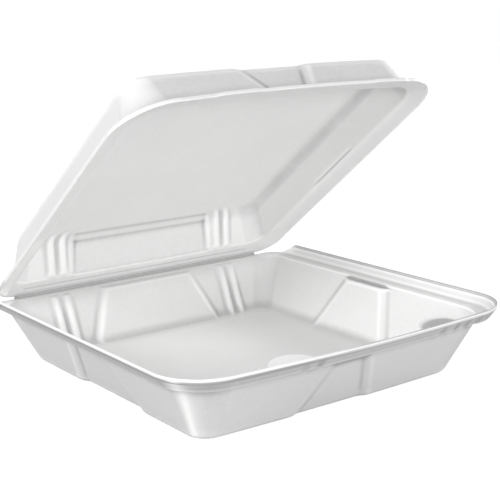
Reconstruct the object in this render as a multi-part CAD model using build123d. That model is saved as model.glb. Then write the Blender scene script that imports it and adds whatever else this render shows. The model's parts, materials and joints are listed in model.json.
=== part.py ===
from build123d import *
from collections import namedtuple
from math import acos, cos, hypot
import os

# A foam clamshell container: a square tray and a shallower lid, pressed from one foam sheet
# and joined along the back by a hinge line.
# Lengths are in millimetres and angles in degrees. X runs right, Y back and Z up.
# The origin is on the tray's underside, below the middle of its rim.

# Foam sheet
wall = 2.2               # thickness of walls, floor and top
trim_height = 2.2        # height of the cut edge round both rims
crest = 0.4              # width of the flat top of a lip
overrun = 6.0            # how far cutting shapes run past what they cut
round_steps = 4          # flats that make up a rounded lower edge

# Tray rim: a level ledge, then a lip that flares up to the cut edge
rim_width = 235.0
rim_front = 115.3        # cut edge in front of the origin, at the ends of the front
rim_bow = 3.1            # how far the middle of the front stands out
rim_front_corner = 30.0
rim_back_corner = 15.0
rim_overhang = 8.5       # cut edge outside the walls
lip_height = 7.1         # cut edge above the inside of the ledge
lip_run = 6.0            # width of the flare, seen from above
lip_foot_run = 4.5       # the same on the underside
lip_foot_rise = 0.9      # underside of the flare above the underside of the ledge
ledge_height = 36.9
ledge_rise = 0.5         # fall of the ledge towards the inside
lip_end_inset = 22.75    # the lip starts to fall this far in front of the hinge
lip_gone_inset = 9.75    # and it has run out here

# Hinge line
hinge_back = 115.75      # axis behind the origin
hinge_drop = 0.4         # axis below the inside of the ledge
hinge_gap = 0.15         # from the axis to each half of the pressed line
hinge_land = 3.0         # width of the lid's flat strip along the hinge
lid_angle = 37.2         # how far the lid stands open from shut

# Tray walls: how far each leans out from the floor to the ledge, and the floor's outline
side_lean = 18.0
front_lean = 20.3
back_lean = 16.3
tray_back_inset = 0.45   # back wall in front of the axis, at the ledge
tray_back_corner = 17.5
tray_floor_corner = 11.0
tray_floor_bow = 1.6
tray_floor_round = 4.0

# Lid, as it lies open and upside down: top panel on the table, rim up, hinge at the back
lid_height = 30.0        # top panel to hinge axis
lid_lift = 1.3           # the rim of the shut lid above the hinge axis
lid_clearance = 1.0      # between the rim of the shut lid and the foot of the lip
lid_rim_bow = 2.8
lid_rim_front_corner = 32.0
lid_rim_back_corner = 15.0
lid_overhang = 9.0       # cut edge outside the walls
flange_run = 9.5         # width of the lid's sloping flange on the outside
flange_rise = 3.1        # its slope over that width
lid_back_inset = 0.6     # back wall in front of the axis, at the rim
lid_back_corner = 14.0
lid_side_lean = 8.0
lid_front_lean = 8.0
lid_back_lean = 21.4
lid_top_corner = 12.0
lid_top_bow = 1.4
lid_top_round = 5.0

# Front lock: half-moon bosses in the tray's ledge with a small pocket behind each, and tongues
# on the lid's rim above them
lock_places = (-47.0, 63.0)
boss_radius = 16.0
boss_offset = 6.0        # centre of the boss outside the inner face of the wall
boss_drop = 6.0
boss_foot = 0.8          # how far its lower end stands inside the wall
pocket_radius = 8.5
pocket_drop = 2.8
tongue_width = 24.0
tongue_reach = 0.8
tongue_lift = 0.9        # underside of a tongue above the rim of the shut lid

# Pressed-in wall panels and ribs: along the wall, half widths at the rim and at the floor or top
Panel = namedtuple("Panel", "centre rim_half floor_half depth border")
side_panel = Panel(centre=4.0, rim_half=14.5, floor_half=32.5, depth=3.0, border=5.0)
front_panel = Panel(centre=0.0, rim_half=7.0, floor_half=23.0, depth=2.4, border=5.5)
back_panel = Panel(centre=0.0, rim_half=31.0, floor_half=47.0, depth=2.6, border=6.0)
inner_rib = Panel(centre=61.0, rim_half=0.7, floor_half=0.7, depth=1.9, border=2.6)
outer_rib = Panel(centre=69.5, rim_half=0.7, floor_half=0.7, depth=1.9, border=2.6)
lid_side_panel = Panel(centre=-114.0, rim_half=17.0, floor_half=30.0, depth=2.0, border=5.0)
lid_front_panel = Panel(centre=0.0, rim_half=8.0, floor_half=21.0, depth=2.2, border=5.5)
lid_back_panel = Panel(centre=0.0, rim_half=53.0, floor_half=51.0, depth=1.4, border=3.0)

# Plan of a rounded rectangle whose front edge bows outwards
Plan = namedtuple("Plan", "half_width front back front_corner back_corner bow")


def blend(low, high, share):
    """Plan between two others, at a share of the way up."""
    return Plan(*(a + (b - a) * share for a, b in zip(low, high)))


def inset(plan, run):
    """Plan moved inwards on all four sides."""
    return Plan(
        plan.half_width - run,
        plan.front - run,
        plan.back - run,
        plan.front_corner - run,
        plan.back_corner - run,
        plan.bow,
    )


def outline(plan, z):
    """Flat face of a plan at a height."""
    x, front, back = plan.half_width, -plan.front, plan.back
    near, far = plan.front_corner, plan.back_corner
    edges = [
        Line((-x, back - far), (-x, front + near)),
        CenterArc((-x + near, front + near), near, 180, 90),
        ThreePointArc((-x + near, front), (0, front - plan.bow), (x - near, front)),
        CenterArc((x - near, front + near), near, 270, 90),
        Line((x, front + near), (x, back - far)),
        CenterArc((x - far, back - far), far, 0, 90),
        Line((x - far, back), (-x + far, back)),
        CenterArc((-x + far, back - far), far, 90, 90),
    ]
    return Pos(0, 0, z) * make_face(edges)


def stack(levels):
    """Solid through a list of plans and their heights, straight from each to the next."""
    return loft([outline(plan, z) for plan, z in levels], ruled=True)


def recess(low, high, height, side, panel, run):
    """Cutter that presses a four-sided panel into a sloping wall, with slanted borders."""
    reach = {
        "front": lambda plan: plan.front + plan.bow,
        "back": lambda plan: plan.back,
        "right": lambda plan: plan.half_width,
        "left": lambda plan: plan.half_width,
    }[side]
    spot = {
        "front": lambda along, out, z: (along, -out, z),
        "back": lambda along, out, z: (along, out, z),
        "right": lambda along, out, z: (out, along, z),
        "left": lambda along, out, z: (-out, along, z),
    }[side]

    def ring(depth, widen):
        corners = ((-1, -overrun), (1, -overrun), (1, height + overrun), (-1, height + overrun))
        points = []
        for sign, z in corners:
            share = z / height
            half = panel.floor_half + (panel.rim_half - panel.floor_half) * share + widen
            out = reach(blend(low, high, share)) - run - depth
            points.append(spot(panel.centre + sign * half, out, z))
        return Wire.make_polygon(points)

    widen = panel.border * (panel.depth + overrun) / panel.depth
    return Solid.make_loft([ring(panel.depth, 0), ring(-overrun, widen)], ruled=True)


def rounding(slope, radius, z):
    """How far a rounded lower edge keeps inside a wall that leans out, at a height in it."""
    if z >= radius - radius * slope / hypot(1, slope):
        return 0
    return slope * z + radius * (hypot(1, slope) - slope) - (z * (2 * radius - z)) ** 0.5


def rounded_levels(low, high, height, floor, run, radius):
    """Plans and heights of the flats that make up the rounded lower edge of a tapered form."""
    slopes = [(b - a) / height for a, b in zip(low[:3], high[:3])]
    turn = acos(min(slopes) / hypot(1, min(slopes)))
    levels = []
    for step in range(round_steps + 1):
        z = radius * (1 - cos(turn * step / round_steps))
        kept = [rounding(slope, radius, z) for slope in slopes]
        plan = inset(blend(low, high, (floor + z) / height), run)
        levels.append((
            Plan(
                plan.half_width - kept[0],
                plan.front - kept[1],
                plan.back - kept[2],
                plan.front_corner - kept[0],
                plan.back_corner - kept[0],
                plan.bow,
            ),
            floor + z,
        ))
    return levels


def basin(low, high, height, floor, run, top, radius, panels):
    """Tapered form with a rounded lower edge and panels pressed into its walls."""
    levels = rounded_levels(low, high, height, floor, run, radius)
    form = stack(levels + [(inset(blend(low, high, top / height), run), top)])
    for side, panel in panels:
        form = form - recess(low, high, height, side, panel, run)
    return form


def rim_level(edge, low, high, height, z, run, back_run, limit):
    """Plan of a rim at a height: inset from its cut edge, with its back along the back wall.
    Its back corners turn no tighter than the walls do inside."""
    back = min(low.back + (high.back - low.back) * z / height - back_run, limit)
    return Plan(
        edge.half_width - run,
        edge.front - run,
        back,
        edge.front_corner - run,
        max(edge.back_corner - run, high.back_corner - 2 * wall),
        edge.bow,
    )


def mirrored_ribs():
    """Two ribs side by side, on the left and on the right of the back wall."""
    ribs = []
    for rib in (inner_rib, outer_rib):
        ribs += [("back", rib._replace(centre=-rib.centre)), ("back", rib)]
    return ribs


def tray():
    """Deep half: floor, four sloping walls, ledge, flared lip and two lock bosses."""
    edge = Plan(
        rim_width / 2,
        rim_front,
        hinge_back,
        rim_front_corner,
        rim_back_corner,
        rim_bow,
    )
    high = inset(edge, rim_overhang)._replace(
        back=hinge_back - tray_back_inset, back_corner=tray_back_corner
    )
    low = Plan(
        high.half_width - side_lean,
        high.front - front_lean,
        high.back - back_lean,
        tray_floor_corner,
        tray_floor_corner,
        tray_floor_bow,
    )
    rim_height = ledge_height + lip_height
    run = wall * hypot(1, side_lean / ledge_height)
    panels = [("front", front_panel), ("left", side_panel), ("right", side_panel)]
    panels = panels + [("back", back_panel)] + mirrored_ribs()
    outside = basin(low, high, ledge_height, 0, 0, ledge_height, tray_floor_round, panels)
    inside = basin(
        low, high, ledge_height, wall, run, rim_height + overrun, tray_floor_round, panels
    )

    ledge_inset = rim_overhang + run
    under = ledge_height - wall
    wall_inset = edge.half_width - blend(low, high, under / ledge_height).half_width + wall / 2
    limit = hinge_back - hinge_gap
    underside = [
        (wall_inset, under),
        (lip_foot_run, under + lip_foot_rise),
        (0, rim_height - trim_height),
        (0, rim_height),
    ]
    topside = [
        (ledge_inset, ledge_height),
        (lip_run, ledge_height + ledge_rise),
        (crest, rim_height),
        (crest, rim_height + overrun),
    ]
    rim = stack(
        [(rim_level(edge, low, high, ledge_height, z, i, 0, limit), z) for i, z in underside]
    )
    dish = stack(
        [(rim_level(edge, low, high, ledge_height, z, i, 0, limit + wall), z) for i, z in topside]
    )

    centre = -high.front - high.bow + run - boss_offset
    for place in lock_places:
        inside = inside - half_moon(place, centre, ledge_height, boss_radius, boss_drop)
    body = outside + rim - inside - dish
    for place in lock_places:
        body = body - half_moon(place, centre, under, pocket_radius, pocket_drop)
    return body - lip_fall(rim_height)


def half_moon(place, centre, top, radius, drop):
    """Upright cone outside the inner face of the front wall, which it leaves at its lower end:
    a boss under the ledge, or the pocket behind it."""
    foot = boss_offset + boss_foot + front_lean * boss_drop / ledge_height
    narrow = radius - (boss_radius - foot) * drop / boss_drop
    cone = Cone(narrow, radius, drop, align=(Align.CENTER, Align.CENTER, Align.MAX))
    return Pos(place, centre, top) * cone


def lip_fall(rim_height):
    """Cutter that lets the lip run out before the hinge, and levels the hinge line."""
    level = ledge_height - hinge_drop - hinge_gap
    lip_end = hinge_back - lip_end_inset
    profile = Polyline(
        (lip_end, rim_height),
        (hinge_back - lip_gone_inset, level),
        (hinge_back + overrun, level),
        (hinge_back + overrun, rim_height + overrun),
        (lip_end, rim_height + overrun),
        close=True,
    )
    half = extrude(Plane.YZ * make_face(profile), rim_width / 2 + overrun, both=True)
    return half


def lid():
    """Shallow half, built open and upside down with the hinge axis above its back edge."""
    rim_z = lid_height - lid_lift
    edge = Plan(
        rim_width / 2 - lip_run - lid_clearance,
        hinge_back + rim_front - lip_run - lid_clearance,
        0,
        lid_rim_front_corner,
        lid_rim_back_corner,
        lid_rim_bow,
    )
    high = inset(edge, lid_overhang)._replace(back=-lid_back_inset, back_corner=lid_back_corner)
    low = Plan(
        high.half_width - lid_side_lean,
        high.front - lid_front_lean,
        high.back - lid_back_lean,
        lid_top_corner,
        lid_top_corner,
        lid_top_bow,
    )
    run = wall * hypot(1, lid_side_lean / rim_z)
    panels = [("front", lid_front_panel), ("left", lid_side_panel), ("right", lid_side_panel)]
    panels = panels + [("back", lid_back_panel)] + mirrored_ribs()
    outside = basin(low, high, rim_z, 0, 0, rim_z, lid_top_round, panels)
    inside = basin(low, high, rim_z, wall, run, rim_z + overrun, lid_top_round, panels)

    limit = -hinge_gap
    underside = [
        (flange_run, rim_z - trim_height - flange_rise),
        (0, rim_z - trim_height),
        (0, rim_z),
    ]
    slope = flange_rise / flange_run
    inner_run = lid_overhang + run
    topside = [
        (inner_run, rim_z - slope * (inner_run - crest)),
        (crest, rim_z),
        (crest, rim_z + overrun),
    ]
    flange = stack([(rim_level(edge, low, high, rim_z, z, i, 0, limit), z) for i, z in underside])
    dish = stack(
        [(rim_level(edge, low, high, rim_z, z, i, 2 * run, limit), z) for i, z in topside]
    )
    body = outside + flange + tongues(edge, rim_z) - inside - dish + hinge_strip(edge, rim_z)
    return body


def tongues(edge, rim_z):
    """Two short tongues on the front of the rim, above the bosses when shut."""
    made = []
    height = trim_height - tongue_lift
    for place in lock_places:
        block = Box(
            tongue_width,
            tongue_reach + edge.bow + flange_run,
            height,
            align=(Align.CENTER, Align.MIN, Align.MAX),
        )
        front = -edge.front - edge.bow * (1 - (place / edge.half_width) ** 2) - tongue_reach
        made.append(Pos(-place, front, rim_z - tongue_lift) * block)
    return made


def hinge_strip(edge, rim_z):
    """Narrow strip that carries the lid's back wall down to the hinge line."""
    top = lid_height - hinge_gap
    half = edge.half_width - edge.back_corner
    profile = Polyline(
        (-hinge_gap, top),
        (-hinge_land, top),
        (-hinge_land - hinge_gap, rim_z),
        (-lid_back_inset - wall, rim_z - wall),
        (-lid_back_inset, rim_z - wall / 2),
        (-hinge_gap, rim_z),
        close=True,
    )
    return extrude(Plane.YZ * make_face(profile), half, both=True)


def open_lid():
    """Lid turned over, swung open about the hinge line and set on the tray."""
    shut = Pos(0, 0, lid_height) * Rot(0, 180, 0) * lid()
    return Pos(0, hinge_back, ledge_height - hinge_drop) * Rot(-lid_angle, 0, 0) * shut


os.makedirs("parts", exist_ok=True)
for name, body in (("tray", tray()), ("lid", open_lid())):
    export_step(body, f"parts/{name}.step")
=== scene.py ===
import json
import math
from collections import namedtuple

import bpy
import numpy as np
from mathutils import Matrix, Vector


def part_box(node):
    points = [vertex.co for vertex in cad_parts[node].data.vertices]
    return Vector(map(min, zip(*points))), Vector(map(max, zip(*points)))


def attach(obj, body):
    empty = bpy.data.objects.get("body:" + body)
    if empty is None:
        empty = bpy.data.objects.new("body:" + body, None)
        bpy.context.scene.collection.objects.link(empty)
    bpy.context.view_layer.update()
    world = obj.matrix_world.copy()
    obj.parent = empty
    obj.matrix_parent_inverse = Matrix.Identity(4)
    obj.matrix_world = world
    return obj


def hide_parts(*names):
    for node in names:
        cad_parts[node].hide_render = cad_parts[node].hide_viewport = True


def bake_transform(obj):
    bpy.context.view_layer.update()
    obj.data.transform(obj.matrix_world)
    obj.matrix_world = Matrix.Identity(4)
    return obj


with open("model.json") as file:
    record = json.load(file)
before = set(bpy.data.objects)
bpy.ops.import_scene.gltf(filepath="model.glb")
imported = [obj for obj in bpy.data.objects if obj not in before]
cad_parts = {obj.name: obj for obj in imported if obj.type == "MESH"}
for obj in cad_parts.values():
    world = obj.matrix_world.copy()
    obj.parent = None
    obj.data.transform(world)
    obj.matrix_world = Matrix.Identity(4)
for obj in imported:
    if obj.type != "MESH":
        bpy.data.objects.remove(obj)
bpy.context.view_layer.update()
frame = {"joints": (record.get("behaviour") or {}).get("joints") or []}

# Shapes are worked out in millimetres and put into meshes in metres.
MM = 0.001
tiny = 1e-6              # least length that anything is divided by
least_step = 0.001       # least length that a step of a grid counts as

# Main sizes, from the frame
tray_low, tray_high = (np.array(corner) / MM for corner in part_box("tray"))
hinge = frame["joints"][0]
hinge_back, hinge_height = hinge["pos_m"][1] / MM, hinge["pos_m"][2] / MM
lid_angle = math.radians(-hinge["range_deg"][0])
rim_half = tray_high[0]
rim_height = tray_high[2]

# Foam sheet
wall = 2.2               # thickness of the sheet
trim_height = 2.2        # height of the cut edge round both rims
crest = 0.4              # flat top of the lip

# Tray rim
rim_bow = 3.1
rim_front = -tray_low[1] - rim_bow
rim_front_corner = 30.0
rim_back_corner = 15.0
lip_height = 7.1
ledge_height = rim_height - lip_height
lip_under = ledge_height - wall
edge_bottom = rim_height - trim_height
lip_run = 6.0
lip_hollow_run = 2.6     # middle of the lip's inner face, which is slightly hollow
lip_hollow_rise = 3.2
lip_foot_run = 4.5
lip_foot_rise = 0.9
ledge_rise = 0.5
lip_end = hinge_back - 22.75
lip_gone = hinge_back - 9.75
lip_end_rise = 1.0       # how far over the rim the slope of the lip's back end begins
lip_end_thickness = 1.65
lip_end_round = 0.5
hinge_gap = 0.15

# Tray walls
rim_overhang = 8.5
tray_half = rim_half - rim_overhang
tray_front = rim_front - rim_overhang
tray_back = hinge_back - 0.45
tray_front_corner = 26.0
tray_back_corner = 17.5
side_lean = 18.0
front_lean = 20.3
back_lean = 16.3
tray_run = wall * math.hypot(1, side_lean / ledge_height)    # the leaning wall, measured level
tray_floor_corner = 11.0
tray_floor_bow = 1.6
tray_floor_round = 4.0
panel_top = 34.2         # height at which the pressed panels begin to end, inside
panel_fade = 0.6         # height over which they end
outer_plain = 0.9        # plain band outside, under the lip
outer_panel_drop = 1.6   # how far under the lip the panels are at full depth, outside

# Lid, laid open and upside down: top panel at zero, rim up, hinge line at zero along the back
lid_height = 30.0
lid_lift = 1.3
lid_rim_z = lid_height - lid_lift
lid_clearance = 1.0
lid_rim_half = rim_half - lip_run - lid_clearance
lid_rim_front = hinge_back + rim_front - lip_run - lid_clearance
lid_rim_bow = 2.8
lid_rim_front_corner = 32.0
lid_rim_back_corner = 15.0
flange_run = 9.5
flange_rise = 3.1
lid_overhang = 9.0
lid_half = lid_rim_half - lid_overhang
lid_front = lid_rim_front - lid_overhang
lid_back_inset = 0.6
lid_front_corner = lid_rim_front_corner - lid_overhang
lid_back_corner = 14.0
lid_lean = 8.0
lid_back_lean = 21.4
lid_run = wall * math.hypot(1, lid_lean / lid_rim_z)         # the leaning wall, measured level
lid_top_corner = 12.0
lid_top_bow = 1.4
lid_top_round = 5.0
lid_panel_top = 22.2     # heights between which the pressed panels end, inside
lid_panel_end = 23.4
lid_step_heights = (2.6, 3.3, 5.0, 6.2)    # the double step at the other end of the back panel
lid_outer_fade = 1.4     # height over which the panels begin under the flange, outside
lid_inner_z = lid_rim_z - flange_rise / flange_run * (lid_overhang + lid_run - crest)
lid_bottom = lid_rim_z - trim_height
lid_outer_z = lid_bottom - flange_rise

# Hinge web: where it starts on the tray, bends outside the hinge line and ends on the lid
web_thickness = 0.9
web_start_in = 1.3
web_bend_out = 0.35
web_bend_up = 0.1
web_end_in = 2.0
web_end_down = 1.0

# Pressed panels and ribs: centre along the wall, half widths at the rim and at the floor
Panel = namedtuple("Panel", "centre rim_half floor_half depth border")
side_panel = Panel(4.0, 14.5, 32.5, 3.0, 5.0)
front_panel = Panel(-4.5, 7.0, 23.0, 2.4, 5.0)
back_panel = Panel(0.0, 31.5, 47.5, 3.2, 3.6)
lid_side_panel = Panel(-114.0, 17.0, 30.0, 0.3, 6.0)
lid_front_panel = Panel(0.0, 8.0, 21.0, 2.2, 5.5)
lid_back_panel = Panel(0.0, 53.0, 51.0, -1.8, 2.5)
ribs = [Panel(place, 0.7, 0.7, 2.3, 2.6) for place in (-69.5, -61.0, 61.0, 69.5)]
crease_softness = 0.9    # how gently a panel's border turns
full_press = 2.0         # depth from which a panel counts as fully pressed

# Locks: half-moons in the tray's ledge, dimples behind them under the lip, and short tongues on
# the lid's rim
lock_places = (-43.0, 64.5)
boss_radius = 17.5
boss_offset = 4.0
boss_drop = 6.0
boss_rise = 2.5
Dimple = namedtuple("Dimple", "centre half depth")
dimples = (Dimple(-44.0, 3.0, 0.5), Dimple(-34.0, 3.0, 0.9), Dimple(56.0, 3.0, 0.9),
           Dimple(67.0, 1.5, 1.4), Dimple(76.0, 3.0, 0.9), Dimple(86.0, 2.0, 1.6))
tongue_half = 12.0
tongue_end = 1.0
tongue_reach = 0.8

# Sampling
wall_step = 3.0          # spacing of columns along a wall
crease_step = 0.7        # spacing of columns across a border
border_margin = 3.0      # how far past a border its close columns go
boss_step = 1.25         # spacing of columns across a half-moon
boss_columns_from = -18.0
boss_columns_to = 17.1
boss_floor_share = 0.97    # where those columns stand at the floor, and how far apart
boss_spread_share = 0.9
tongue_columns = 5       # across each end of a tongue
tongue_floor_share = 0.93
web_curve_points = 13    # from the tray to the lid
web_stops = 41           # along the hinge
least_gap = 0.2          # between two columns
corner_columns = 22
turn_levels = 6          # levels in each softened corner of a profile
crest_levels = turn_levels + 2    # from the start of a rim's crest to the top of its cut edge
most_of_run = 0.45       # share of a run that the softened corner at its end may take
level_margin = 0.01      # keeps a level at a height clear of a test at that height

# Tones, painted light and shade: a tone above zero paints the foam paler as painted light, below zero
# darker as painted shade
ridge_tone = 0.9         # painted highlight of the sharpest ridge and painted shade of the sharpest crease
crease_tone = -1.4
relief_gain = 8.0
broad_turning = 0.03     # turning per millimetre that leaves the tone as it is
most_turning = 1.2
relief_rounds = 3        # how often the turning is spread over its neighbours
hinge_reach = 7.0        # distance over which shade is painted round the hinge
hinge_fade = 0.3         # power of the painted hinge shade by which the relief's painted light and shade fades there
wall_foot = 0.5          # height at which a wall's own tones begin
wall_foot_ramp = 3.0
edge_margin = 0.6        # how far under a cut edge its tone still reaches
Stripe = namedtuple("Stripe", "turn width tone")    # angle from the side wall, in degrees
# Painted highlight up each corner of the tray, with painted shade either side of it
corner_stripes = (Stripe(27.0, 8.0, 1.0), Stripe(9.0, 8.0 / 1.8, -0.35), Stripe(59.4, 22.4, -0.45))

# Painted highlight on the tray's ridges and painted shade in its creases, at this share
tray_relief = 0.85
# Painted light on the tray's inside
tray_inside_tone = 0.4
groove_tone = -1.6       # painted shade over the pressed panels, between their ends and the ledge
groove_margin = 0.3
# Painted shade under the lip, where it lies in shadow
under_lip_tone = -0.8
under_lip_reach = 5.0
# Painted light on the lip's inner face and the ledge
lip_face_tone = 0.6
lip_face_drop = 0.2      # how far under the ledge the painted light on the lip's inner face begins
# Painted shade on the crest and on its inner face, growing towards the right
crest_tone = -2.0
crest_depth = 0.5
inner_crest_tone = -1.0
inner_crest_depth = 1.8
# Painted highlight on the cut edge, and painted shade just under it
cut_edge_tone = 0.25
edge_foot_tone = -2.0
edge_foot_rise = 0.8
edge_foot_drop = 1.0
right_ramp = 60.0        # the rim's painted shade grows over this width, up to the middle
# Painted shade in the dimples under the lip
dimple_tone = -0.45
dimple_side = 5.0        # depth of the strip along the front wall where the dimples get painted shade
# Painted highlight on the left half-moon and painted shade on the right one
lock_tones = (1.2, -1.8)
lock_edge = 1.5

# Painted light on the lid's inside
lid_inside_tone = 0.65
# Painted shade on the lid's front wall and its corners, outside
lid_front_tone = -0.5
lid_front_depth = 11.0
lid_corner_tone = -0.3
# Painted shade on the lid's cut edge
lid_edge_tone = -0.5
# Share by which the relief's painted highlight and shade is fainter on the flange
flange_relief_loss = 0.7
flange_drop = 1.0        # how far under the flange its tones begin
flange_short = 0.1       # and how far under the crest they end
# Painted light on the lid's flange at the lower left
lower_flange_tone = 0.8
lower_flange_reach = 60.0
back_strip = 5.0         # how far past the back wall's lean its tones go
back_calm = (23.0, 25.0)    # heights over which the back wall's relief fades
Line = namedtuple("Line", "height width tone")
# Painted lines of shade and light along the lid's back wall, where it steps, by their height above the
# top panel
back_lines = (Line(2.9, 0.35, -1.2), Line(5.2, 0.5, -1.0), Line(23.2, 0.8, 0.9))
back_line_half = 54.0    # the lines end over back_line_fade short of this
back_line_fade = 3.0
# Painted shade on the lid's back panel, between these heights
back_panel_tone = -0.4
back_panel_heights = (5.2, 22.0)
# Painted shade on the hinge web, where it lies in shadow
web_shade = -0.85
tone_gain = 0.34         # how far a tone of 1 moves the colour along the foam's ramp

# Plan of a rounded rectangle: half width, front, back, corner radii and bow of the front
HALF, FRONT, BACK, FRONT_CORNER, BACK_CORNER, BOW = range(6)
# What a level holds after its plan: height, share of the wall's height, spread from the centre,
# strength of the pressed panels, how far it belongs to the locks (below zero: to the dimples),
# and strength of the stepped panel in the lid's back wall
Z, SHARE, SPREAD, PRESS, LOCK, STEP = range(6, 12)


def plan(*sizes):
    """Six plan sizes as an array."""
    return np.array(sizes, float)


def inset(shape, run):
    """Plan moved inwards by a run on all sides."""
    moved = shape.copy()
    moved[:BOW] -= run
    return moved


def level(shape, z, share, spread=1.0, press=1.0, lock=0.0):
    """One station of a profile, with no stepped panel."""
    return np.array([*shape, z, share, spread, press, lock, 0.0])


def levels_through(profile):
    """Levels along a profile, whose rows give a station, how softly the profile turns there, and
    the spacing of the levels on the run after it.

    Corner B between A and C becomes the curve (1-t)(1-t) P + 2t(1-t) B + t t Q, where P and Q
    lie on its two runs at the corner's softness from B. Straight runs between corners are
    divided evenly.
    """
    stations, softness, spacing = (np.array(part) for part in zip(*profile))
    reach = np.stack([stations[:, HALF] * stations[:, SPREAD], stations[:, Z]], axis=1)
    length = np.maximum(np.linalg.norm(np.diff(reach, axis=0), axis=1), tiny)
    length = np.maximum(length, np.abs(np.diff(stations[:, BACK] * stations[:, SPREAD])))
    made = [stations[:1]]
    leave = stations[0]
    for i in range(1, len(stations)):
        before = min(softness[i] / length[i - 1], most_of_run)
        arrive = stations[i] + (stations[i - 1] - stations[i]) * before
        count = max(1, math.ceil(length[i - 1] * (1 - before) / spacing[i - 1]))
        t = np.linspace(0, 1, count + 1)[1:, None]
        made.append(leave * (1 - t) + arrive * t)
        leave = arrive
        if softness[i]:
            after = min(softness[i] / length[i], most_of_run)
            depart = stations[i] + (stations[i + 1] - stations[i]) * after
            t = np.linspace(0, 1, turn_levels + 1)[1:, None]
            made.append((1 - t) ** 2 * arrive + 2 * t * (1 - t) * stations[i] + t ** 2 * depart)
            leave = depart
    return np.concatenate(made)


def soft_step(distance, width):
    """Ramp from 0 to 1 over a width, with softened ends: (s(d) - s(d - w)) / w, where
    s(d) = (d + root(d d + r r)) / 2 and r is the crease softness."""
    def soft(d):
        return (d + np.sqrt(d * d + crease_softness ** 2)) / 2
    return (soft(distance) - soft(distance - width)) / width


def soft_least(a, b, softness):
    """The smaller of two heights, turned gently where they cross:
    (a + b - root((a - b) (a - b) + r r)) / 2, where r is the softness."""
    return (a + b - np.sqrt((a - b) ** 2 + softness ** 2)) / 2


def pressed(panels, along, share):
    """Depth of the pressed panels: each is its depth times the ramps in from both borders."""
    depth = np.zeros_like(along)
    for panel in panels:
        half = panel.floor_half + (panel.rim_half - panel.floor_half) * share
        into = soft_step(along - panel.centre + half + panel.border, panel.border)
        out_of = soft_step(panel.centre + half + panel.border - along, panel.border)
        depth += panel.depth * into * out_of
    return depth


def wall_lines(panels, extra=()):
    """Lines that the columns of a wall follow, as places at the rim and at the floor: close
    together across each border of each panel, and further ones where asked."""
    lines = list(extra)
    for panel in panels:
        across = np.arange(-border_margin, panel.border + border_margin, crease_step)
        for side in (-1, 1):
            for out in panel.border - across:
                rim = panel.centre + side * (panel.rim_half + out)
                floor = panel.centre + side * (panel.floor_half + out)
                lines.append((rim, floor))
    kept = []
    for rim, floor in sorted(lines):
        if not kept or min(rim - kept[-1][0], floor - kept[-1][1]) > least_gap:
            kept.append((rim, floor))
    return np.array(kept).reshape(-1, 2)


def wall_columns(low, high, lines, share, reverse=False):
    """Places along a wall, level by column: between its two ends and the lines that it follows,
    each gap divided evenly."""
    inner = lines[:, 1] + (lines[:, 0] - lines[:, 1]) * share
    marks = np.concatenate([low, np.broadcast_to(inner, (len(share), len(lines))), high], axis=1)
    top = marks[np.argmax(share[:, 0])]
    counts = np.maximum(1, np.ceil(np.abs(np.diff(top)) / wall_step)).astype(int)
    gap = np.repeat(np.arange(len(counts)), counts)
    part = np.concatenate([np.arange(n) / n for n in counts])
    along = marks[:, gap] * (1 - part) + marks[:, gap + 1] * part
    along = np.concatenate([along, marks[:, -1:]], axis=1)
    return along[:, ::-1] if reverse else along


def shell_points(levels, walls, centre, lock_depth):
    """Points of a pressed shell, level by column.

    Each level is a rounded rectangle: four walls, of which the front bows out as
    bow (1 - (x / half) (x / half)), joined by quarter circles. Walls are pushed in along their
    own direction by the pressed panels, the front also by the locks, which may lift it too, and a
    level is then drawn in to the centre by its spread. With the points come two maps of the grid:
    how far each lies on a front or side panel, and the stripes of painted highlight and shade up
    each corner, each its tone times exp(-(turn / width) (turn / width)), where turn is measured
    from its own place.
    """
    half, front, back, near, far, bow, z, share, spread, press, lock, step = (
        levels[:, i:i + 1] for i in range(12)
    )
    turn = np.linspace(0, math.pi / 2, corner_columns + 2)[None, 1:-1]
    pieces = []

    def add_wall(side, low, high, reverse):
        panels, lines = walls[side]
        along = wall_columns(low, high, lines, share, reverse)
        depth = press * pressed([panel for panel in panels if panel.depth > 0], along, share)
        depth += step * pressed([panel for panel in panels if panel.depth < 0], along, share)
        height, blank = z + 0 * along, 0 * along
        on_panel = np.clip(pressed(panels, along, share) / full_press, 0, 1)
        if side == "front":
            moved, lift = lock_depth(along, share, lock)
            out = front + bow * (1 - (along / (half - near)) ** 2)
            pieces.append((along, moved + depth - out, height + lift, on_panel, blank))
        elif side == "back":
            pieces.append((along, back - depth, height, blank, blank))
        elif side == "right":
            pieces.append((half - depth, along, height, on_panel, blank))
        else:
            pieces.append((depth - half, along, height, on_panel, blank))

    def add_corner(x, y, radius, start, from_side):
        angle = start + turn
        around = np.degrees(turn if from_side else math.pi / 2 - turn)
        # Painted highlight and shade striped up the corner
        tone = sum(stripe.tone * np.exp(-((around - stripe.turn) / stripe.width) ** 2)
                   for stripe in corner_stripes) + 0 * z
        x, y = x + radius * np.cos(angle), y + radius * np.sin(angle)
        pieces.append((x, y, z + 0 * angle, 0 * tone, tone))

    add_wall("front", near - half, half - near, False)
    add_corner(half - near, near - front, near, -math.pi / 2, False)
    add_wall("right", near - front, back - far, False)
    add_corner(half - far, back - far, far, 0, True)
    add_wall("back", far - half, half - far, True)
    add_corner(far - half, back - far, far, math.pi / 2, False)
    add_wall("left", near - front, back - far, True)
    add_corner(near - half, near - front, near, math.pi, True)

    x, y, z, on_panel, stripes = (
        np.concatenate([piece[i] for piece in pieces], axis=1) for i in range(5)
    )
    points = np.stack([x * spread, centre + (y - centre) * spread, z], axis=2)
    return points, on_panel, stripes


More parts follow.
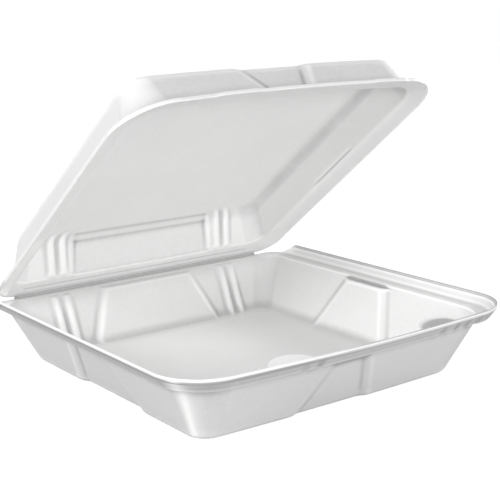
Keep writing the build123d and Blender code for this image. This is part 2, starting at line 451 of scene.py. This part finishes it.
def bend(points, axis):
    """How sharply a grid turns along one axis, per millimetre: the change of unit direction over
    the mean length of the two steps that meet at each point."""
    ahead = np.roll(points, -1, axis) - points
    behind = np.roll(ahead, 1, axis)
    next_length, last_length = (
        np.maximum(np.linalg.norm(step, axis=2, keepdims=True), least_step)
        for step in (ahead, behind)
    )
    return 2 * (ahead / next_length - behind / last_length) / (next_length + last_length)


def relief(points):
    """Painted highlight on the ridges and painted shade in the creases: the turning of the grid along
    its levels and along its columns, against its outward normal, spread over its neighbours and
    less the turning of broad rounds. It is tanh(gain times turning), times the tone of a ridge or
    of a crease."""
    across = np.roll(points, -1, 1) - np.roll(points, 1, 1)
    down = np.gradient(points, axis=0)
    normal = np.cross(down, across)
    normal /= np.maximum(np.linalg.norm(normal, axis=2, keepdims=True), tiny)
    turning = -((bend(points, 1) + bend(points, 0)) * normal).sum(2)
    turning[[0, 1, -2, -1]] = 0
    turning = np.clip(turning, -most_turning, most_turning)
    for _ in range(relief_rounds):
        turning = (turning + np.roll(turning, 1, 1) + np.roll(turning, -1, 1)) / 3
        turning[1:-1] = (turning[1:-1] + turning[:-2] + turning[2:]) / 3
    turning = np.sign(turning) * np.maximum(np.abs(turning) - broad_turning, 0)
    return np.tanh(turning * relief_gain) * np.where(turning > 0, ridge_tone, -crease_tone)


def hinge_shade(points):
    """How much shade is painted round the hinge, where it lies in shadow: exp(-(d / reach) (d /
    reach)), d from the hinge line."""
    away = np.hypot(points[..., 1] - hinge_back, points[..., 2] - hinge_height)
    return np.exp(-(away / hinge_reach) ** 2)


def sides_of_crest(levels):
    """Height of each level, whether it comes before the crest, so inside, and whether it comes
    after the top of the cut edge, so outside."""
    order, start = np.arange(len(levels))[:, None], np.argmax(levels[:, Z])
    return levels[:, Z:Z + 1], order < start, order > start + crest_levels


def between(height, low, high):
    """Where a height lies between two others."""
    return (height > low) & (height < high)


def on_cut_edge(levels, bottom, half):
    """Which levels lie on a rim's cut edge, going by its lowest height and its half width."""
    return (levels[:, Z:Z + 1] >= bottom - edge_margin) & (levels[:, HALF:HALF + 1] > half - crest)


def up_the_wall(height):
    """0 at the foot of a wall and 1 from a little above it."""
    return np.clip((height - wall_foot) / wall_foot_ramp, 0, 1)


def closed_shell(name, points, tone):
    """Mesh of a level-by-column grid that closes round its columns, with the first and the last
    level each drawn to one point. It keeps the tone of each point, and a drawn point takes the
    mean of the level beside it."""
    rows, columns = points.shape[:2]
    body = points[1:-1].reshape(-1, 3)
    poles = np.stack([points[0].mean(0), points[-1].mean(0)])
    vertices = np.concatenate([body, poles]) * MM
    rows -= 2
    i, j = np.meshgrid(np.arange(rows - 1), np.arange(columns), indexing="ij")
    after = (j + 1) % columns
    quads = np.stack(
        [i * columns + j, (i + 1) * columns + j, (i + 1) * columns + after, i * columns + after],
        axis=2,
    ).reshape(-1, 4)
    j = np.arange(columns)
    after = (j + 1) % columns
    first, last = len(body), len(body) + 1
    start = np.stack([np.full(columns, first), j, after], axis=1)
    base = (rows - 1) * columns
    finish = np.stack([base + j, np.full(columns, last), base + after], axis=1)
    mesh = bpy.data.meshes.new(name)
    mesh.from_pydata(vertices.tolist(), [], quads.tolist() + start.tolist() + finish.tolist())
    shade = np.concatenate([tone[1:-1].ravel(), [tone[1].mean(), tone[-2].mean()]])
    mesh.attributes.new("tone", "FLOAT", "POINT").data.foreach_set("value", shade)
    mesh.polygons.foreach_set("use_smooth", np.ones(len(mesh.polygons), bool))
    mesh.validate()
    mesh.update()
    piece = bpy.data.objects.new(name, mesh)
    bpy.context.scene.collection.objects.link(piece)
    return piece


# Plans of the tray: outside at its foot and at its ledge, and the edge of its lip
tray_foot = plan(tray_half - side_lean, tray_front - front_lean, tray_back - back_lean,
                 tray_floor_corner, tray_floor_corner, tray_floor_bow)
tray_mouth = plan(tray_half, tray_front, tray_back, tray_front_corner, tray_back_corner, rim_bow)
tray_edge = plan(rim_half, rim_front, hinge_back, rim_front_corner, rim_back_corner, rim_bow)


def tray_outside(z, thickness=0.0):
    """Plan of the tray's wall at a height, a thickness in from its outside:
    foot + (mouth - foot) z / ledge height."""
    return inset(tray_foot + (tray_mouth - tray_foot) * z / ledge_height, thickness)


def tray_levels():
    """Levels of the tray: from the middle of the floor out and up the inside, over the lip, and
    down the outside to the middle of the foot."""
    def on_wall(z, thickness, press, lock):
        return level(tray_outside(z, thickness), z, z / ledge_height, press=press, lock=lock)

    def on_lip(run, gap, z, lock=0.0):
        """Station a run in from the lip's edge and a gap in front of the tray's back end."""
        shape = inset(tray_edge, run)
        shape[BACK] = hinge_back - hinge_gap - gap
        shape[BACK_CORNER] = max(shape[BACK_CORNER], tray_back_corner - 2 * wall)
        return level(shape, z, 1, press=0, lock=lock)

    floor, floor_share = tray_outside(wall, tray_run), wall / ledge_height
    return levels_through([
        (level(floor, wall, floor_share, spread=0, press=0), 0, 9.0),
        (level(floor, wall, floor_share), tray_floor_round, 1.8),
        (on_wall(ledge_height - 2 * boss_drop, tray_run, 1, 0), 1.5, 1.3),
        (on_wall(ledge_height - boss_drop, tray_run, 1, 0.8), 0.8, 1.0),
        (on_wall(panel_top, tray_run, 1, 0.9), 0.2, 0.4),
        (on_wall(panel_top + panel_fade, tray_run, 0, 0.92), 0.2, 0.8),
        (on_wall(ledge_height, tray_run, 0, 1), 0.5, 1.2),
        (on_lip(lip_run, 1.5, ledge_height + ledge_rise), 1.0, 0.8),
        (on_lip(lip_hollow_run, 1.1, ledge_height + lip_hollow_rise), 1.5, 0.8),
        (on_lip(crest, 0.8, rim_height), 0.3, 0.4),
        (on_lip(0, 0.1, rim_height), 0.35, 0.6),
        (on_lip(0, 0.0, edge_bottom), 0.5, 0.8),
        (on_lip(lip_foot_run, 0.5, lip_under + lip_foot_rise, lock=-1), 1.0, 1.2),
        (on_wall(lip_under, 0, 0, -1), 0.6, 0.6),
        (on_wall(lip_under - outer_plain, 0, 0, 0), 0.3, 0.5),
        (on_wall(lip_under - outer_panel_drop, 0, 1, 0), 0.4, 2.0),
        (level(tray_outside(0), 0, 0), tray_floor_round, 9.0),
        (level(tray_outside(0), 0, 0, spread=0, press=0), 0, 9.0),
    ])


def dimple_round(x, dimple):
    """Round section of a dimple: root(1 - (d / half) (d / half)), d from its centre."""
    return np.sqrt(np.maximum(1 - ((x - dimple.centre) / dimple.half) ** 2, 0))


def tray_locks(along, share, lock):
    """How far the locks push the tray's front in, and how far they lift it.

    Half-moons push by root(R R - d d) less the distance from the wall to the moon's centre, and
    lift in step with that. Dimples push by their depth times their round section.
    """
    away = boss_offset + front_lean * (1 - share)
    moon, dimpled = np.zeros_like(along), np.zeros_like(along)
    for place in lock_places:
        chord = np.sqrt(np.maximum(boss_radius ** 2 - (along - place) ** 2, 0))
        moon = np.maximum(moon, chord - away)
    for dimple in dimples:
        dimpled = np.maximum(dimpled, dimple.depth * dimple_round(along, dimple))
    lift = boss_rise * np.maximum(lock, 0) * moon / (boss_radius - boss_offset)
    return np.maximum(lock, 0) * moon + np.maximum(-lock, 0) * dimpled, lift


def lower_lip_ends(points, levels):
    """Tray points with the lip's back ends brought down to the hinge: from lip_end to lip_gone
    its top falls evenly, from over the rim to a gap under the hinge line, and its underside stays
    a thickness below that."""
    height, _, outside = sides_of_crest(levels)
    slope = [rim_height + lip_end_rise, hinge_height - hinge_gap]
    fall = np.interp(points[..., 1], [lip_end, lip_gone], slope)
    z = points[..., 2]
    top = soft_least(z, fall, lip_end_round)
    beneath = soft_least(z, fall - lip_end_thickness, lip_end_round)
    beneath = np.maximum(beneath, np.minimum(z, lip_under))
    under_edge = outside & np.roll(outside, 1)    # all the outer levels but the first
    on_lip = height > lip_under - level_margin
    lowered = points.copy()
    lowered[..., 2] = np.where(on_lip, np.where(under_edge, beneath, top), z)
    return lowered


def tray_tone(points, levels, on_panel, stripes):
    """Painted light and shade of the tray: highlight and shade on its relief, shade painted round
    the hinge, painted light on the inside and highlight and shade striped up the corners, then
    shade in the groove over the panels, light and shade bands on the lip, shade in the dimples,
    and a highlight on one half-moon and shade on the other."""
    height, inside, outside = sides_of_crest(levels)
    rightwards = np.clip(points[..., 0] / right_ramp + 1, 0, 1)
    painted_hinge_shade = hinge_shade(points)
    inner_crest = rim_height - inner_crest_depth
    edge_foot = edge_bottom + edge_foot_rise
    # Painted shade in the groove over the panels, and under the lip
    groove = inside & between(height, panel_top + groove_margin, ledge_height - groove_margin)
    shade_heights = [lip_under - under_lip_reach, lip_under, edge_bottom - edge_foot_drop, edge_bottom]
    shaded = outside * np.interp(height, shade_heights, [0, 1, 0.7, 0])
    cut_edge = on_cut_edge(levels, edge_bottom, rim_half)

    # Painted highlight and shade of the relief, faded near the hinge, less the painted shade round the
    # hinge
    tone = tray_relief * relief(points) * (1 - painted_hinge_shade ** hinge_fade) - painted_hinge_shade
    # Painted light on the tray's inside
    tone += tray_inside_tone * inside * (height < edge_bottom)
    # Painted highlight and shade up the outside corners
    tone += outside * up_the_wall(height) * stripes
    # Painted shade in the groove and under the lip
    tone += groove_tone * groove * on_panel + under_lip_tone * shaded
    # Painted light on the lip's inner face
    tone += lip_face_tone * inside * between(height, ledge_height - lip_face_drop, inner_crest)
    # Painted shade on the crest and its inner face, growing towards the right
    tone += crest_tone * (height > rim_height - crest_depth) * rightwards
    tone += inner_crest_tone * inside * (height > inner_crest) * rightwards
    # Painted highlight on the cut edge, then painted shade just under it
    tone += cut_edge_tone * cut_edge * (height > edge_foot)
    below_edge = outside & between(height, edge_bottom - edge_foot_drop, edge_foot)
    tone += edge_foot_tone * below_edge * (1 - rightwards / 2)
    # Painted shade in the dimples
    dimple_shade_mask = outside * (points[..., 1] < dimple_side - tray_front) * (height < edge_bottom) * shaded
    for dimple in dimples:
        tone += dimple_tone * dimple.depth * dimple_shade_mask * dimple_round(points[..., 0], dimple)
    moon_y = tray_run - boss_offset - tray_front - rim_bow
    # Painted highlight on the left half-moon, painted shade on the right one
    for place, moon_tone in zip(lock_places, lock_tones):
        away = np.hypot(points[..., 0] - place, points[..., 1] - moon_y)
        moon = np.clip((boss_radius - away) / lock_edge, 0, 1) * (points[..., 1] > moon_y)
        tone += moon_tone * inside * (height > panel_top) * moon
    return tone


def foam_tray():
    """Tray shell: inside floor, walls, ledge, flared lip, cut edge, underside and outside."""
    boss_lines = [(place + out, place * boss_floor_share + out * boss_spread_share)
                  for place in lock_places
                  for out in np.arange(boss_columns_from, boss_columns_to, boss_step)]
    back_panels = [back_panel, *ribs]
    walls = {
        "front": ([front_panel], wall_lines([front_panel], boss_lines)),
        "back": (back_panels, wall_lines(back_panels)),
        "right": ([side_panel], wall_lines([side_panel])),
        "left": ([side_panel], wall_lines([side_panel])),
    }
    levels = tray_levels()
    centre = (tray_foot[BACK] - tray_foot[FRONT]) / 2
    points, on_panel, stripes = shell_points(levels, walls, centre, tray_locks)
    points = lower_lip_ends(points, levels)
    tray = closed_shell("foam_tray", points, tray_tone(points, levels, on_panel, stripes))
    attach(tray, "tray")
    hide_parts("tray")
    return tray


# Plans of the lid: outside at its top panel and at its rim, and the edge of its flange
lid_top = plan(lid_half - lid_lean, lid_front - lid_lean, -lid_back_inset - lid_back_lean,
               lid_top_corner, lid_top_corner, lid_top_bow)
lid_mouth = plan(lid_half, lid_front, -lid_back_inset, lid_front_corner, lid_back_corner,
                 lid_rim_bow)
lid_edge = plan(lid_rim_half, lid_rim_front, 0, lid_rim_front_corner, lid_rim_back_corner,
                lid_rim_bow)


def lid_outside(z, thickness=0.0):
    """Plan of the lid's wall at a height, a thickness in from its outside:
    top + (mouth - top) z / rim height."""
    return inset(lid_top + (lid_mouth - lid_top) * z / lid_rim_z, thickness)


def lid_levels():
    """Levels of the lid: from the middle of the top panel out and along the inside, over the
    flange, and back along the outside to the middle."""
    def on_wall(z, thickness, press=1.0):
        return level(lid_outside(z, thickness), z, z / lid_rim_z, press=press)

    def on_edge(run, gap, z):
        """Station a run in from the flange's edge and a gap in front of the lid's back end."""
        shape = inset(lid_edge, run)
        shape[BACK] = lid_outside(z)[BACK] - gap
        shape[BACK_CORNER] = max(shape[BACK_CORNER], lid_back_corner - 2 * wall)
        return level(shape, z, 1, press=0, lock=1)

    floor, floor_share = lid_outside(wall, lid_run), wall / lid_rim_z
    inner_wall = lid_outside(lid_inner_z, lid_run)
    inner_wall[BACK] = -lid_back_inset - lid_run
    levels = levels_through([
        (level(floor, wall, floor_share, spread=0, press=0), 0, 6.0),
        (level(floor, wall, floor_share), lid_top_round, 1.2),
        (on_wall(lid_panel_top, lid_run), 0.4, 0.4),
        (on_wall(lid_panel_end, lid_run, press=0), 0.4, 0.6),
        (level(inner_wall, lid_inner_z, lid_inner_z / lid_rim_z, press=0), 3.0, 1.2),
        (on_edge(crest, 1.2, lid_rim_z), 0.3, 0.4),
        (on_edge(0, 0.1, lid_rim_z), 0.35, 0.6),
        (on_edge(0, 0.0, lid_bottom), 0.5, 1.2),
        (on_wall(lid_outer_z, 0, press=0), 0.8, 0.5),
        (on_wall(lid_outer_z - lid_outer_fade, 0), 0.4, 1.6),
        (level(lid_outside(0), 0, 0), lid_top_round, 6.0),
        (level(lid_outside(0), 0, 0, spread=0, press=0), 0, 6.0),
    ])
    height, inside, _ = sides_of_crest(levels)
    heights = [*lid_step_heights, lid_panel_top, lid_panel_end]
    steps = np.interp(height, heights, [0, 0.5, 0.5, 1, 1, 0])
    levels[:, STEP] = np.where(inside, steps, 0)[:, 0]
    return levels


def lid_tongues(along, share, lock):
    """How far the tongues push the lid's rim out, with softened ends, and no lift. The lid lies
    turned over, so their places count the other way."""
    out = sum(soft_step(along + place + tongue_half + tongue_end, tongue_end)
              * soft_step(tongue_half + tongue_end - along - place, tongue_end)
              for place in lock_places)
    return -tongue_reach * lock * out, 0


def swing_open(points):
    """Lid points turned over and swung open: from (x, y, z) to (-x, y, height - z), then turned
    about the hinge line by the opening angle."""
    x, y, z = -points[..., 0], points[..., 1], lid_height - points[..., 2]
    c, s = math.cos(lid_angle), math.sin(lid_angle)
    return np.stack([x, hinge_back + y * c + z * s, hinge_height - y * s + z * c], axis=-1)


def lid_tone(flat, points, levels, stripes):
    """Painted light and shade of the lid, from its points before and after it swings open:
    highlight and shade on its relief, fainter on the flange and near the hinge, shade painted
    round the hinge, painted light on the inside, painted shade on the front wall, corners and cut
    edge, then painted lines of shade and light along the back panel, each its tone times
    exp(-(d / width) (d / width)), painted shade on that panel and painted light on the lower left
    of the flange."""
    height, inside, outside = sides_of_crest(levels)
    painted_hinge_shade = hinge_shade(points)
    corner = stripes != 0
    front_wall = (flat[..., 1] < lid_front_depth - lid_front) & ~corner
    back_wall = flat[..., 1] > -lid_back_lean - back_strip
    calm = back_wall * np.clip((height - back_calm[0]) / (back_calm[1] - back_calm[0]), 0, 1)
    on_back = inside * back_wall
    on_back = on_back * np.clip((back_line_half - np.abs(flat[..., 0])) / back_line_fade, 0, 1)
    flange = inside & between(height, lid_inner_z - flange_drop, lid_rim_z - flange_short)
    lower_left = (points[..., 0] < -lid_half) & (points[..., 1] > hinge_back - lower_flange_reach)

    # Painted highlight and shade of the relief, fainter on the flange, near the hinge and at the back
    # wall's top, less the painted shade round the hinge, plus painted light on the inside
    tone = relief(points) * (1 - painted_hinge_shade ** hinge_fade) * (1 - flange_relief_loss * flange)
    tone = tone * (1 - calm) - painted_hinge_shade + lid_inside_tone * inside
    # Painted shade on the lid's front wall and corners
    darker = lid_front_tone * front_wall + lid_corner_tone * corner
    tone += outside * up_the_wall(height) * darker
    # Painted shade on the lid's cut edge
    tone += lid_edge_tone * on_cut_edge(levels, lid_bottom, lid_rim_half)
    # Painted lines of shade and light along the back panel's steps, and painted shade on the panel
    for line in back_lines:
        tone += line.tone * on_back * np.exp(-((height - line.height) / line.width) ** 2)
    tone += back_panel_tone * on_back * between(height, *back_panel_heights)
    # Painted light on the flange at the lower left
    tone += lower_flange_tone * flange * lower_left
    return tone


def foam_lid():
    """Lid shell, worked out as it lies open and upside down, then swung up on the hinge."""
    ends = [side * tongue_half - place for place in lock_places for side in (-1, 1)]
    tongue_lines = [(end + out, end * tongue_floor_share + out) for end in ends
                    for out in np.linspace(-tongue_end, tongue_end, tongue_columns)]
    back_panels = [lid_back_panel, *ribs]
    walls = {
        "front": ([lid_front_panel], wall_lines([lid_front_panel], tongue_lines)),
        "back": (back_panels, wall_lines(back_panels)),
        "right": ([lid_side_panel], wall_lines([lid_side_panel])),
        "left": ([lid_side_panel], wall_lines([lid_side_panel])),
    }
    levels = lid_levels()
    centre = (lid_top[BACK] - lid_top[FRONT]) / 2
    flat, _, stripes = shell_points(levels, walls, centre, lid_tongues)
    points = swing_open(flat)
    lid = closed_shell("foam_lid", points, lid_tone(flat, points, levels, stripes))
    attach(lid, "lid")
    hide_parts("lid")
    return lid


def hinge_web():
    """Thin pressed web along the hinge: a flat section carried round the curve
    (1-t)(1-t) A + 2t(1-t) B + t t C from the tray's back edge to the lid's, where B is set so
    that the middle of the curve lies just outside the hinge line."""
    half = lid_rim_half - lid_rim_back_corner
    end = swing_open(np.array([0, -web_end_in, lid_rim_z - web_end_down]))
    start = np.array([0, hinge_back - web_start_in, hinge_height - web_start_in])
    middle = np.array([0, hinge_back + web_bend_out, hinge_height + web_bend_up])
    t = np.linspace(0, 1, web_curve_points)[:, None]
    path = (1 - t) ** 2 * start + 2 * t * (1 - t) * (2 * middle - (start + end) / 2) + t ** 2 * end
    along = np.gradient(path, axis=0)
    along /= np.linalg.norm(along, axis=1, keepdims=True)
    side = np.stack([np.zeros(len(t)), along[:, 2], -along[:, 1]], axis=1) * web_thickness / 2
    ring = np.concatenate([path + side, (path - side)[::-1]])
    stops = np.linspace(-half, half, web_stops)
    points = np.broadcast_to(ring[None], (len(stops), *ring.shape)).copy()
    points[:, :, 0] = stops[:, None]
    points = np.concatenate([points[:1], points, points[-1:]])
    # The web takes painted shade all over
    web = closed_shell("hinge_web", points[::-1], np.full(points.shape[:2], web_shade))
    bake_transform(web)
    return web


def foam_material():
    """White foam with a soft sheen. Its colour runs along a ramp by broad clouding, fine mottling
    and the painted light and shade that each point of the mesh carries as its tone. Its bump is a
    skin of cells over slow waves."""
    material = bpy.data.materials.new("white_foam")
    material.use_nodes = True
    nodes, links = material.node_tree.nodes, material.node_tree.links
    shader = nodes["Principled BSDF"]
    shader.inputs["Roughness"].default_value = 0.45
    shader.inputs["Specular IOR Level"].default_value = 0.4
    place = nodes.new("ShaderNodeTexCoord")

    def noise(scale, detail):
        """Noise on the object's own coordinates, with its scale in waves to the metre."""
        node = nodes.new("ShaderNodeTexNoise")
        node.inputs["Scale"].default_value = scale
        node.inputs["Detail"].default_value = detail
        links.new(place.outputs["Object"], node.inputs["Vector"])
        return node.outputs["Fac"]

    def scaled(source, factor, addend):
        """source times factor, plus addend, which is a number or an output."""
        node = nodes.new("ShaderNodeMath")
        node.operation = "MULTIPLY_ADD"
        links.new(source, node.inputs[0])
        node.inputs[1].default_value = factor
        if isinstance(addend, float):
            node.inputs[2].default_value = addend
        else:
            links.new(addend, node.inputs[2])
        return node.outputs["Value"]

    def bump(height, strength, distance):
        """Bump of a height, whose distance is in metres."""
        node = nodes.new("ShaderNodeBump")
        node.inputs["Strength"].default_value = strength
        node.inputs["Distance"].default_value = distance
        links.new(height, node.inputs["Height"])
        return node

    # Painted light and shade that each point carries
    painted_light_and_shade = nodes.new("ShaderNodeAttribute")
    painted_light_and_shade.attribute_name = "tone"
    clouded = scaled(noise(34, 2), 0.06, 0.42)
    mottled = scaled(noise(420, 3), 0.1, clouded)
    mixed = scaled(painted_light_and_shade.outputs["Fac"], tone_gain, mottled)
    tint = nodes.new("ShaderNodeValToRGB")
    ramp = tint.color_ramp
    ramp.elements[0].position = 0.1
    ramp.elements[0].color = (0.4, 0.4, 0.4, 1)
    ramp.elements[1].position = 0.85
    ramp.elements[1].color = (0.94, 0.94, 0.935, 1)
    for position, value in ((0.4, 0.67), (0.6, 0.78)):
        ramp.elements.new(position).color = (value, value, value * 0.997, 1)
    links.new(mixed, tint.inputs["Fac"])
    links.new(tint.outputs["Color"], shader.inputs["Base Color"])

    cells = nodes.new("ShaderNodeTexVoronoi")
    cells.inputs["Scale"].default_value = 1100
    links.new(place.outputs["Object"], cells.inputs["Vector"])
    skin = bump(cells.outputs["Distance"], 0.25, 0.0002)
    waves = bump(noise(60, 2), 0.3, 0.0006)
    links.new(skin.outputs["Normal"], waves.inputs["Normal"])
    links.new(waves.outputs["Normal"], shader.inputs["Normal"])
    return material


def plain_floor():
    """Plain floor that shows white to the camera and keeps a faint shadow."""
    half, drop = 3.0, 0.0002
    mesh = bpy.data.meshes.new("floor")
    corners = [(x * half, y * half, -drop) for x, y in ((-1, -1), (1, -1), (1, 1), (-1, 1))]
    mesh.from_pydata(corners, [], [(0, 1, 2, 3)])
    floor = bpy.data.objects.new("floor", mesh)
    bpy.context.scene.collection.objects.link(floor)

    material = bpy.data.materials.new("pale_floor")
    material.use_nodes = True
    nodes, links = material.node_tree.nodes, material.node_tree.links
    matte = nodes["Principled BSDF"]
    matte.inputs["Base Color"].default_value = (0.5, 0.5, 0.5, 1)
    matte.inputs["Roughness"].default_value = 0.9
    glow = nodes.new("ShaderNodeEmission")
    glow.inputs["Strength"].default_value = 1.14
    path = nodes.new("ShaderNodeLightPath")
    seen = nodes.new("ShaderNodeMath")
    seen.operation = "MULTIPLY"
    seen.inputs[1].default_value = 0.88
    links.new(path.outputs["Is Camera Ray"], seen.inputs[0])
    mix = nodes.new("ShaderNodeMixShader")
    links.new(seen.outputs["Value"], mix.inputs["Fac"])
    links.new(matte.outputs["BSDF"], mix.inputs[1])
    links.new(glow.outputs["Emission"], mix.inputs[2])
    links.new(mix.outputs["Shader"], nodes["Material Output"].inputs["Surface"])
    mesh.materials.append(material)


def white_world():
    """World that lights the object faintly and shows white to the camera."""
    world = bpy.data.worlds.new("studio")
    bpy.context.scene.world = world
    world.use_nodes = True
    nodes, links = world.node_tree.nodes, world.node_tree.links
    background = nodes["Background"]
    background.inputs["Color"].default_value = (1, 1, 1, 1)
    path = nodes.new("ShaderNodeLightPath")
    strength = nodes.new("ShaderNodeMix")
    strength.data_type = "FLOAT"
    links.new(path.outputs["Is Camera Ray"], strength.inputs["Factor"])
    strength.inputs["A"].default_value = 0.3
    strength.inputs["B"].default_value = 1.0
    links.new(strength.outputs["Result"], background.inputs["Strength"])


def towards(azimuth, elevation):
    """Unit vector from the object towards a viewer or a light, from two angles in radians."""
    return Vector((math.sin(azimuth) * math.cos(elevation),
                   -math.cos(azimuth) * math.cos(elevation), math.sin(elevation)))


def soft_light(name, azimuth, elevation, strength, size):
    """Square soft light aimed at the middle of the container from 2.2 m, with its angles in
    degrees. At a strength of 1 it brings a white surface that faces it to full white:
    power = pi pi distance distance."""
    distance, aim = 2.2, Vector((0, 0, 0.08))
    direction = towards(math.radians(azimuth), math.radians(elevation))
    data = bpy.data.lights.new(name, "AREA")
    data.size = size
    data.energy = strength * (math.pi * distance) ** 2
    light = bpy.data.objects.new(name, data)
    light.location = aim + direction * distance
    light.rotation_euler = (-direction).to_track_quat("-Z", "Y").to_euler()
    bpy.context.scene.collection.objects.link(light)


def photo_camera():
    """Camera at the photograph's place. Its focal length and the frame's width are in pixels."""
    azimuth, elevation, roll = (math.radians(a) for a in (-36.372, 12.724, -1.149))
    distance, focal, frame_width = 0.94782, 1169.42, 500
    target = Vector((0.14527, 0.18815, 0.020))
    back = towards(azimuth, elevation)
    right = Vector((0, 0, 1)).cross(back).normalized()
    up = back.cross(right)
    c, s = math.cos(roll), math.sin(roll)
    right, up = right * c + up * s, up * c - right * s
    data = bpy.data.cameras.new("photo_camera")
    data.sensor_width = 36
    data.lens = focal / frame_width * data.sensor_width
    camera = bpy.data.objects.new("photo_camera", data)
    turned = Matrix((right, up, back)).transposed().to_4x4()
    camera.matrix_world = Matrix.Translation(target + back * distance) @ turned
    bpy.context.scene.collection.objects.link(camera)
    bpy.context.scene.camera = camera


foam = foam_material()
for piece in (foam_tray(), foam_lid(), hinge_web()):
    piece.data.materials.append(foam)

plain_floor()
white_world()
soft_light("left", azimuth=-78, elevation=27, strength=0.72, size=0.9)
soft_light("front", azimuth=-10, elevation=6, strength=0.63, size=0.9)
soft_light("right", azimuth=92, elevation=10, strength=0.97, size=1.4)
soft_light("rear", azimuth=-170, elevation=32, strength=0.34, size=1.2)
photo_camera()
bpy.context.scene.view_settings.view_transform = "Standard"
